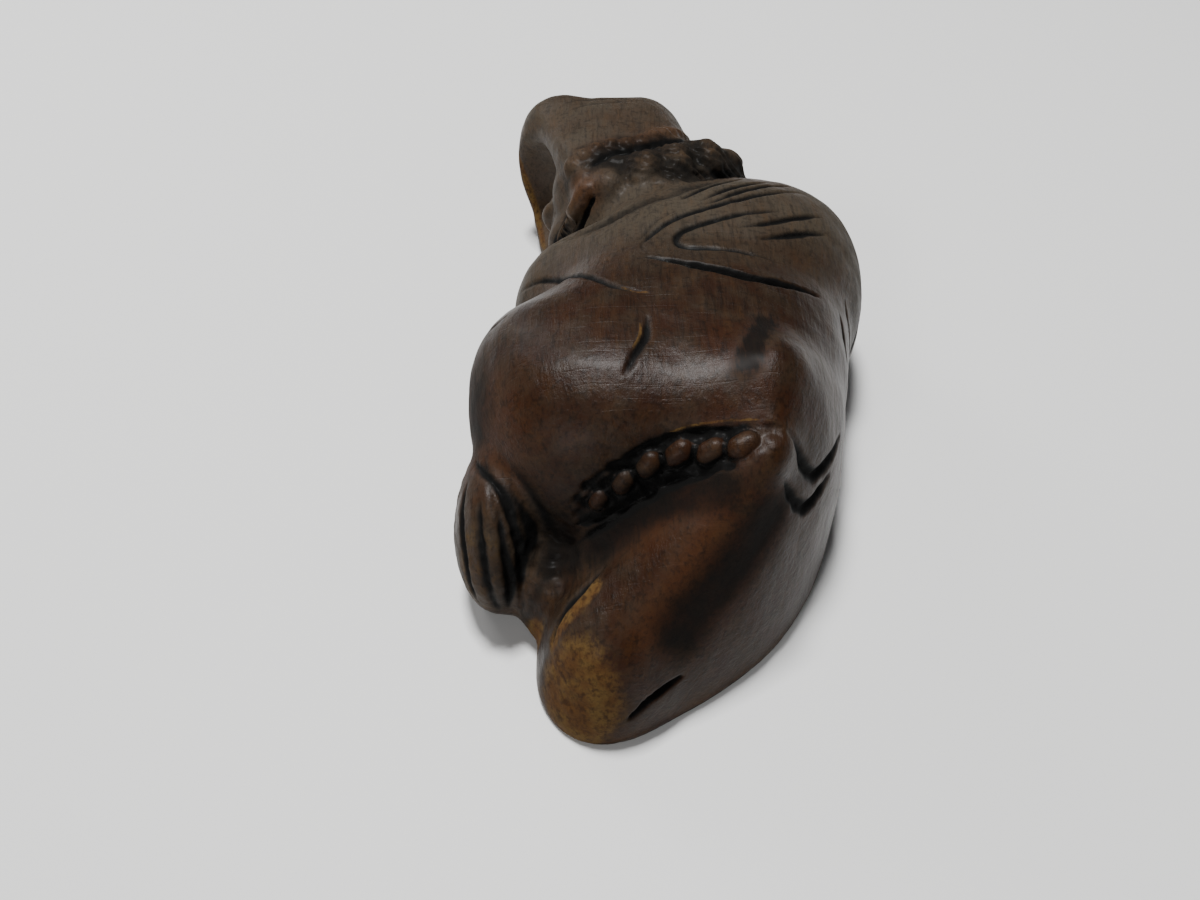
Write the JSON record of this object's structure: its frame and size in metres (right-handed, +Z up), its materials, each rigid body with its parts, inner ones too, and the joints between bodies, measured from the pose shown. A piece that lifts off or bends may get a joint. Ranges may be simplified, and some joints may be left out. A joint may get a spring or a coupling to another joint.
{
  "type": "carved wooden netsuke figure",
  "caption": "Small solid wood carving of a robed figure curled up asleep, with a flat underside and a cord channel through it.",
  "frame": {"origin": "centre of the bounding box on the flat underside", "axes": "+Y from the robe's tip to the crown of the head, +Z up from the underside, -X the side the face looks to"},
  "size_m": [0.0396, 0.0792, 0.0215],
  "materials": {
    "stained_wood": "dark stained, hand polished, worn tan on the tips"
  },
  "bodies": {
    "root": {"carved_figure": "stained_wood"}
  },
  "joints": []
}
